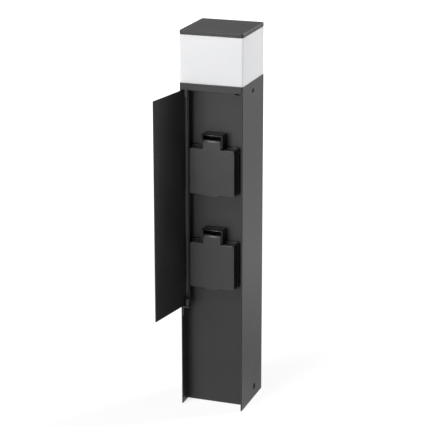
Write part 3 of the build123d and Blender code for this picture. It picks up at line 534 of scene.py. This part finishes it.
@dataclass(frozen=True)
class BareMetal:
    """Uncoated metal with lines left by drawing, rolling or turning."""

    name: str
    colour: Triple
    roughness: float
    across: Triple
    tarnish: float = 0.25
    tarnish_shade: float = 0.45
    line_tones: Pair = (0.86, 1.1)
    line_strength: float = 0.3
    line_depth: float = 0.01 * MM
    smoother: float = 0.08
    rougher: float = 0.12
    grain_scale: float = 1400.0
    drift_scale: float = 70.0

    def build(self) -> bpy.types.Material:
        """Builds the material.

        Returns:
            The material.
        """
        material, graph, shader = start_material(self.name)
        shader.inputs["Metallic"].default_value = 1.0
        across_x, across_y, across_z = self.across
        streaks = graph.group(STREAKS, across_x=across_x, across_y=across_y, across_z=across_z)
        lines = streaks.outputs["tone"]
        grain = graph.group(GRAIN, grain_scale=self.grain_scale, drift_scale=self.drift_scale)
        bright = graph.shade(lines, self.colour, *self.line_tones)
        dulled = graph.math("MULTIPLY", grain.outputs["tone"], self.tarnish)
        metal = graph.blend(dulled, bright, opaque(self.colour, self.tarnish_shade))
        rough = graph.remap(lines, self.roughness - self.smoother, self.roughness + self.rougher)
        normal = graph.bump(lines, self.line_strength, self.line_depth)
        graph.feed(shader, Base_Color=metal, Roughness=rough, Normal=normal)
        return material


@dataclass(frozen=True)
class SoftRubber:
    """Matt rubber or cable sheath with a faint bloom."""

    name: str
    colour: Triple
    roughness: float
    roughness_spread: float = 0.1
    tones: Pair = (0.75, 1.3)
    grain: Grain = Grain(scale=3200.0, drift=60.0, strength=0.5, depth=0.02 * MM)
    bloom: float = 0.4
    bloom_height: float = 20.0 * MM

    def build(self) -> bpy.types.Material:
        """Builds the material.

        Returns:
            The material.
        """
        material, graph, shader = start_material(self.name)
        tone, normal = self.grain.place(graph)
        body = graph.shade(tone, self.colour, *self.tones)
        bloom = graph.group(DUST, amount=self.bloom, splash_height=self.bloom_height)
        bloomed = graph.blend(bloom.outputs["mask"], body, opaque(DUST_GREY))
        spread = self.roughness_spread
        rough = graph.remap(tone, self.roughness - spread, self.roughness + spread)
        graph.feed(shader, Base_Color=bloomed, Roughness=rough, Normal=normal)
        return material


FINISHES: dict[str, bpy.types.Material] = {
    finish.name: finish.build()
    for finish in (
        PowderCoat("anthracite_paint", ANTHRACITE, roughness=0.4),
        MouldedPlastic("socket_plastic", LID_GREY, roughness=0.3),
        MouldedPlastic("body_plastic", BODY_BLACK, roughness=0.22, gloss=0.34),
        OpalPlastic("opal_plastic", OPAL_WHITE, OPAL_PAINTED_GLOW),
        BareMetal("bracket_metal", BRACKET_GREY, roughness=0.38, across=LINES_ALONG_X),
        BareMetal("screw_steel", STEEL_GREY, roughness=0.3, across=EVEN_LINES, tarnish=0.35),
        BareMetal("black_steel", OXIDE_BLACK, roughness=0.45, across=EVEN_LINES, tarnish=0.4),
        SoftRubber("seal_rubber", RUBBER_BLACK, roughness=0.72),
        BareMetal("contact_brass", BRASS_YELLOW, roughness=0.28, across=LINES_ALONG_X, tarnish=0.3),
        MouldedPlastic("carrier_plastic", CARRIER_IVORY, roughness=0.4),
        MouldedPlastic("box_plastic", BOX_GREY, roughness=0.45),
        MouldedPlastic("shutter_plastic", SHUTTER_GREY, roughness=0.4),
        SoftRubber("lead_sheath", SHEATH_BLACK, roughness=0.6),
        MouldedPlastic("bush_plastic", BUSH_GREY, roughness=0.4),
        MouldedPlastic("magnet_ferrite", FERRITE_BLACK, roughness=0.5, gloss=0.15),
        MouldedPlastic("board_white", BOARD_WHITE, roughness=0.3),
        MouldedPlastic("chip_phosphor", PHOSPHOR_YELLOW, roughness=0.35),
    )
}

SLOT_OF: dict[str, str] = {entry["node"]: entry["material_slot"] for entry in frame["record"]["subparts"]}


def round_edges(piece: bpy.types.Object, edge: Edge) -> None:
    """Rounds sharp edges with modifiers, and leaves the piece's own mesh as it is.

    Args:
        piece: the piece's object.
        edge: how far its edges are rounded.
    """
    weld = piece.modifiers.new("weld", "WELD")
    weld.merge_threshold = WELD_REACH
    flat = piece.modifiers.new("flat", "DECIMATE")
    flat.decimate_type = "DISSOLVE"
    flat.angle_limit = FLAT_ANGLE
    bevel = piece.modifiers.new("edge", "BEVEL")
    bevel.width = edge.value
    bevel.segments = EDGE_SEGMENTS
    bevel.limit_method = "ANGLE"
    bevel.angle_limit = SHARP_ANGLE
    bevel.use_clamp_overlap = False
    bevel.harden_normals = True


def dress(node: str, edge: Edge | None = None, finish: str | None = None) -> None:
    """Gives a carried-over node its finish and its rounded edges.

    Args:
        node: the node's name.
        edge: how far its edges are rounded, if they are.
        finish: name of a finish other than the one of its slot.
    """
    piece = frame["nodes"][node]
    slot = SLOT_OF[node]
    piece.data.materials.clear()
    piece.data.materials.append(FINISHES[finish or slot])
    if edge:
        round_edges(piece, edge)
    log.info("%s: %s%s", node, slot, f", edges {edge.name.lower()}" if edge else "")


def build_wire(name: str, line: list[Vector], radius: float, sides: int) -> bpy.types.Object:
    """Makes a closed tube along a line.

    Args:
        name: the piece's name.
        line: the points of its middle line.
        radius: the tube's radius.
        sides: how many faces go round it.

    Returns:
        The new object, linked to the scene.
    """
    ways = [(after - before).normalized() for before, after in zip(line, line[1:])]
    tangents = [ways[0]] + [(one + two).normalized() for one, two in zip(ways, ways[1:])] + [ways[-1]]
    across = tangents[0].orthogonal().normalized()
    points = []
    for place, tangent in zip(line, tangents):
        across = (across - tangent * across.dot(tangent)).normalized()
        beside = tangent.cross(across)
        for step in range(sides):
            angle = math.tau * step / sides
            points.append(place + radius * (math.cos(angle) * across + math.sin(angle) * beside))
    faces = []
    for ring in range(len(line) - 1):
        for step in range(sides):
            first = ring * sides + step
            second = ring * sides + (step + 1) % sides
            faces.append((first, second, second + sides, first + sides))
    faces.append(tuple(reversed(range(sides))))
    faces.append(tuple(range(len(points) - sides, len(points))))
    mesh = bpy.data.meshes.new(name)
    mesh.from_pydata(points, [], faces)
    # The tube's four-sided faces are smooth, and its two ends stay flat
    mesh.polygons.foreach_set("use_smooth", [len(face) == 4 for face in faces])
    piece = bpy.data.objects.new(name, mesh)
    bpy.context.scene.collection.objects.link(piece)
    return piece


@dataclass
class PostShell:
    """The extruded post and the grub screws in its side walls."""

    shell: str = "post_profile"
    screws: tuple[str, ...] = ("base_lock_screws", "head_lock_screws")

    def build(self) -> None:
        """Dresses the nodes."""
        dress(self.shell, Edge.SHELL)
        for node in self.screws:
            dress(node, Edge.FINE)


@dataclass
class GroundBracket:
    """The bent foot bracket with its cable grommet."""

    bracket: str = "base_bracket"
    grommet: str = "cable_grommet"

    def build(self) -> None:
        """Dresses the nodes."""
        dress(self.bracket, Edge.PLATE)
        dress(self.grommet)


@dataclass
class Wiring:
    """Terminal box, glands and inner leads."""

    housings: tuple[str, ...] = ("terminal_box", "terminal_box_cover", "terminal_block")
    round_pieces: tuple[str, ...] = ("cable_glands", "supply_lead", "link_lead", "lamp_lead")
    screws: str = "terminal_box_screws"

    def build(self) -> None:
        """Dresses the nodes."""
        for node in self.housings:
            dress(node, Edge.MOULDING)
        for node in self.round_pieces:
            dress(node)
        dress(self.screws, Edge.FINE)


@dataclass
class LidSpring:
    """Torsion spring wound from wire, in place of the solid sleeve."""

    level: Level
    wire_radius: float = 0.25 * MM
    coil_radius: float = 1.55 * MM
    turns: int = 8
    open_turn_share: float = 3 / 8
    turn_steps: int = 20
    sides: int = 8
    front_leg_drop: float = 3.9 * MM
    front_leg_step: float = 0.3 * MM
    front_leg_shares: Pair = (1.0, 0.6)
    bend_share: float = 0.3

    def coil(self, middle: Vector, half_length: float) -> list[Vector]:
        """Points of the coil, from its start below the front to its end at the back.

        Args:
            middle: the coil's middle.
            half_length: half of its length along X.

        Returns:
            The points.
        """
        first_angle = math.tau * (self.turns - self.open_turn_share)
        steps = self.turns * self.turn_steps
        points = []
        for step in range(steps + 1):
            share = step / steps
            angle = first_angle * (1 - share)
            across = half_length * (1 - 2 * share)
            ring = Vector((across, self.coil_radius * math.cos(angle), self.coil_radius * math.sin(angle)))
            points.append(middle + ring)
        return points

    def build(self) -> None:
        """Winds the spring where the solid one is, and hides that one."""
        node = f"{self.level.value}_lid_spring"
        low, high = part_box(node)
        reach = self.coil_radius + self.wire_radius
        middle = Vector(((low.x + high.x) / 2, low.y + reach, high.z - reach))
        turns = self.coil(middle, (high.x - low.x) / 2 - self.wire_radius)
        front = middle + Vector((high.x - self.wire_radius - middle.x, -self.front_leg_step, 0.0))
        front_leg = [front + Vector((0, 0, -self.front_leg_drop * share)) for share in self.front_leg_shares]
        leg_z = low.z + self.wire_radius
        corner = Vector((turns[-1].x, turns[-1].y, leg_z))
        bend = self.coil_radius / 2
        inner_bend = bend * self.bend_share
        back_leg = [
            corner + Vector((0, 0, bend)),
            corner + Vector((0, inner_bend, inner_bend)),
            corner + Vector((0, bend, 0)),
            Vector((corner.x, high.y, leg_z)),
        ]
        name = f"{self.level.value}_wound_spring"
        spring = build_wire(name, front_leg + turns + back_leg, self.wire_radius, self.sides)
        spring.data.materials.append(FINISHES[SLOT_OF[node]])
        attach(spring, "root")
        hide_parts(node)
        log.info("%s: %d turns in place of %s", name, self.turns, node)


@dataclass
class Socket:
    """One earthed socket: body, lid, shutter, contacts and fastenings."""

    level: Level
    body: str = "socket_body"
    body_finish: str = "body_plastic"
    thick: tuple[str, ...] = ("contact_carrier", "shutter")
    fine: tuple[str, ...] = ("lid", "socket_screws", "hinge_pin", "terminal_screws", "pin_contacts")
    plain: tuple[str, ...] = ("earth_clip", "flange_gasket", "lid_seal")

    def build(self) -> None:
        """Dresses the nodes and winds the lid's spring."""
        dress(f"{self.level.value}_{self.body}", Edge.SHELL, self.body_finish)
        for names, edge in ((self.thick, Edge.MOULDING), (self.fine, Edge.FINE), (self.plain, None)):
            for name in names:
                dress(f"{self.level.value}_{name}", edge)
        LidSpring(self.level).build()


@dataclass
class Door:
    """Folded door with its bushes, pivots and catch."""

    panel: str = "door_panel"
    bracket: str = "lower_pivot_bracket"
    bushes: str = "door_bushes"
    small: tuple[str, ...] = ("lower_pivot_pin", "upper_pivot_pin", "catch_magnet")

    def build(self) -> None:
        """Dresses the nodes."""
        dress(self.panel, Edge.FOLD)
        dress(self.bracket, Edge.PLATE)
        dress(self.bushes)
        for node in self.small:
            dress(node, Edge.FINE)


@dataclass
class LampHead:
    """Cast tray, opal diffuser, cap and the board inside."""

    cap: str = "top_cap"
    tray: str = "lamp_base"
    smooth: tuple[str, ...] = ("diffuser", "diffuser_gasket")
    small: tuple[str, ...] = ("led_board", "led_chips", "led_driver", "tie_screws")

    def build(self) -> None:
        """Dresses the nodes."""
        dress(self.cap, Edge.CASTING)
        dress(self.tray, Edge.PLATE)
        for node in self.smooth:
            dress(node)
        for node in self.small:
            dress(node, Edge.FINE)


@dataclass(frozen=True)
class Softbox:
    """One square lamp with a soft front, in metres and watts, turned to the post's upper half."""

    name: str
    place: Triple
    side: float
    power: float
    target: Triple = (0.0, 0.0, 0.3)

    def build(self) -> None:
        """Adds the lamp, turned to its target."""
        light = bpy.data.lights.new(self.name, "AREA")
        light.energy = self.power
        light.size = self.side
        lamp = bpy.data.objects.new(self.name, light)
        lamp.location = self.place
        aim = Vector(self.target) - Vector(self.place)
        lamp.rotation_euler = aim.to_track_quat("-Z", "Y").to_euler()
        bpy.context.scene.collection.objects.link(lamp)


@dataclass
class Studio:
    """Pale floor, surroundings that reflections see dimmed by direction, and four softboxes.

    A reach is a distance from the foot in metres. A fade says where along Y one brightness turns into
    another: in metres on the floor, and as part of a direction of length 1 in the room. wall_top says
    the same along Z.
    """

    floor_side: float = 8.0
    floor_drop: float = 0.3 * MM
    floor_white: float = 1.32
    paper_white: float = 0.9
    shadow_share: float = 0.4
    shadow_reach: float = 0.35
    shadow_end: float = 1.1
    floor_in_front: float = 0.75
    floor_behind: float = 0.8
    floor_fade: Pair = (-0.15, 0.15)
    near_dimming: float = 0.65
    near_reach: float = 0.15
    bright_reach: float = 0.55
    far_dimming: float = 0.8
    far_reach: float = 1.25
    wall_behind: float = 0.55
    wall_fade: Pair = (-0.4, 0.4)
    wall_top: Pair = (0.1, 0.6)
    overhead_in_front: float = 1.2
    overhead_behind: float = 0.15
    overhead_fade: Pair = (-0.5, 0.1)
    backdrop: float = 1.0
    sky_light: float = 0.02
    lamps: tuple[Softbox, ...] = (
        Softbox("front_left", place=(-1.3, -1.7, 1.2), side=1.0, power=11.0),
        Softbox("front_low", place=(-0.5, -2.15, 0.5), side=1.0, power=14.0),
        Softbox("overhead_front", place=(-0.55, -1.2, 1.9), side=0.8, power=20.0),
        Softbox("back_right", place=(1.35, 1.35, 1.1), side=1.0, power=40.0),
    )

    def build_room(self, graph: Graph) -> bpy.types.NodeSocket:
        """Brightness of the surroundings by direction, as reflections see them.

        Args:
            graph: the world's graph.

        Returns:
            The wall behind the post low down, dark in front, and a ceiling that is bright in front.
        """
        way = graph.add("ShaderNodeTexCoord").outputs["Generated"]
        axes = graph.add("ShaderNodeSeparateXYZ", {"Vector": way})
        depth, height = axes.outputs["Y"], axes.outputs["Z"]
        behind = graph.remap(depth, 0.0, self.wall_behind, *self.wall_fade)
        low = graph.remap(height, 1.0, 0.0, *self.wall_top)
        above = graph.remap(height, 0.0, 1.0, *self.wall_top)
        ceiling = graph.remap(depth, self.overhead_in_front, self.overhead_behind, *self.overhead_fade)
        return graph.math("ADD", graph.math("MULTIPLY", behind, low), graph.math("MULTIPLY", above, ceiling))

    def build_world(self) -> None:
        """White to the camera, the room to reflections, and a dim sky as a light."""
        world = bpy.data.worlds.new("studio")
        world.use_nodes = True
        bpy.context.scene.world = world
        graph = Graph(world.node_tree)
        world.node_tree.nodes.clear()
        path = graph.add("ShaderNodeLightPath")
        white = opaque(WHITE)
        lit = graph.add("ShaderNodeBackground", {"Color": white, "Strength": self.sky_light})
        mirrored = graph.add("ShaderNodeBackground", {"Color": white, "Strength": self.build_room(graph)})
        seen = graph.add("ShaderNodeBackground", {"Color": white, "Strength": self.backdrop})
        other = graph.mix(path.outputs["Is Glossy Ray"], lit, mirrored)
        direct = graph.math("MAXIMUM", path.outputs["Is Camera Ray"], path.outputs["Is Transmission Ray"])
        mixed = graph.mix(direct, other, seen)
        graph.add("ShaderNodeOutputWorld", {"Surface": mixed.outputs[0]})

    def build_sheen(self, graph: Graph, place: Value, distance: Value) -> bpy.types.NodeSocket:
        """Brightness of the floor as reflections see it.

        Args:
            graph: the floor material's graph.
            place: the point on the floor.
            distance: how far the point is from the foot.

        Returns:
            One level in front of the post and one behind it, where it is dimmer near the foot and far away.
        """
        risen = graph.remap(distance, self.near_dimming, 1.0, self.near_reach, self.bright_reach)
        fallen = graph.remap(distance, 1.0, self.far_dimming, self.bright_reach, self.far_reach)
        dimmed = graph.math("MULTIPLY", risen, fallen)
        depth = graph.add("ShaderNodeSeparateXYZ", {"Vector": place}).outputs["Y"]
        front = graph.remap(depth, self.floor_in_front, 0.0, *self.floor_fade)
        behind = graph.remap(depth, 0.0, self.floor_behind, *self.floor_fade)
        return graph.math("ADD", front, graph.math("MULTIPLY", behind, dimmed))

    def build_paper(self) -> bpy.types.Material:
        """Floor's material: white to the camera but for shadows near the foot, a sheen to reflections.

        Returns:
            The material.
        """
        material = bpy.data.materials.new("floor_paper")
        material.use_nodes = True
        material.node_tree.nodes.clear()
        graph = Graph(material.node_tree)
        path = graph.add("ShaderNodeLightPath")
        place = graph.point()
        distance = graph.add("ShaderNodeVectorMath", {0: place}, operation="LENGTH").outputs["Value"]
        paper = graph.add("ShaderNodeBsdfDiffuse", {"Color": opaque(WHITE, self.paper_white)})
        glow = self.build_sheen(graph, place, distance)
        sheen = graph.add("ShaderNodeEmission", {"Color": opaque(WHITE), "Strength": glow})
        seen = graph.add("ShaderNodeEmission", {"Color": opaque(WHITE), "Strength": self.floor_white})
        reflected = graph.math("MAXIMUM", path.outputs["Is Glossy Ray"], path.outputs["Is Transmission Ray"])
        lit = graph.mix(reflected, paper, sheen)
        clear = graph.remap(distance, 1 - self.shadow_share, 1.0, self.shadow_reach, self.shadow_end)
        direct = graph.math("MULTIPLY", path.outputs["Is Camera Ray"], clear)
        mixed = graph.mix(direct, lit, seen)
        graph.add("ShaderNodeOutputMaterial", {"Surface": mixed.outputs[0]})
        return material

    def build_floor(self) -> None:
        """Adds the wide floor under the foot."""
        mesh = bpy.data.meshes.new("floor")
        half = self.floor_side / 2
        corners = [(-half, -half), (half, -half), (half, half), (-half, half)]
        mesh.from_pydata([(x, y, -self.floor_drop) for x, y in corners], [], [(0, 1, 2, 3)])
        floor = bpy.data.objects.new("floor", mesh)
        bpy.context.scene.collection.objects.link(floor)
        mesh.materials.append(self.build_paper())

    def build(self) -> None:
        """Builds the whole studio."""
        self.build_world()
        self.build_floor()
        for lamp in self.lamps:
            lamp.build()
        bpy.context.scene.view_settings.view_transform = "Standard"


@dataclass
class PhotoCamera:
    """Camera that sees the post as the photograph does, with its angles in degrees."""

    place: Triple = (0.62098, -1.76706, 0.81463)
    yaw: float = -19.687
    pitch: float = -17.345
    roll: float = -0.1
    focal_pixels: float = 1688.14
    image_pixels: float = 426.0
    sensor_width: float = 36.0
    clip_start: float = 0.05
    clip_end: float = 50.0

    def build(self) -> None:
        """Builds the camera and makes it the scene's."""
        data = bpy.data.cameras.new("photo_camera")
        data.sensor_width = self.sensor_width
        data.lens = self.sensor_width * self.focal_pixels / self.image_pixels
        data.clip_start = self.clip_start
        data.clip_end = self.clip_end
        yaw, pitch, roll = (math.radians(angle) for angle in (self.yaw, self.pitch, self.roll))
        ahead = Vector((math.sin(yaw) * math.cos(pitch), math.cos(yaw) * math.cos(pitch), math.sin(pitch)))
        level = Vector((math.cos(yaw), -math.sin(yaw), 0.0))
        above = level.cross(ahead)
        right = math.cos(roll) * level + math.sin(roll) * above
        up = math.cos(roll) * above - math.sin(roll) * level
        turn = Matrix((right, up, -ahead)).transposed().to_4x4()
        camera = bpy.data.objects.new("photo_camera", data)
        camera.matrix_world = Matrix.Translation(self.place) @ turn
        bpy.context.scene.collection.objects.link(camera)
        bpy.context.scene.camera = camera


def main() -> None:
    """Builds the camera, the studio and every sub-assembly."""
    logging.basicConfig(level=logging.INFO, format="%(message)s")
    PhotoCamera().build()
    Studio().build()
    for sub_assembly in (
        PostShell(),
        GroundBracket(),
        Wiring(),
        Socket(Level.LOWER),
        Socket(Level.UPPER),
        Door(),
        LampHead(),
    ):
        log.info("%s", type(sub_assembly).__name__)
        sub_assembly.build()


if __name__ == "__main__":
    main()
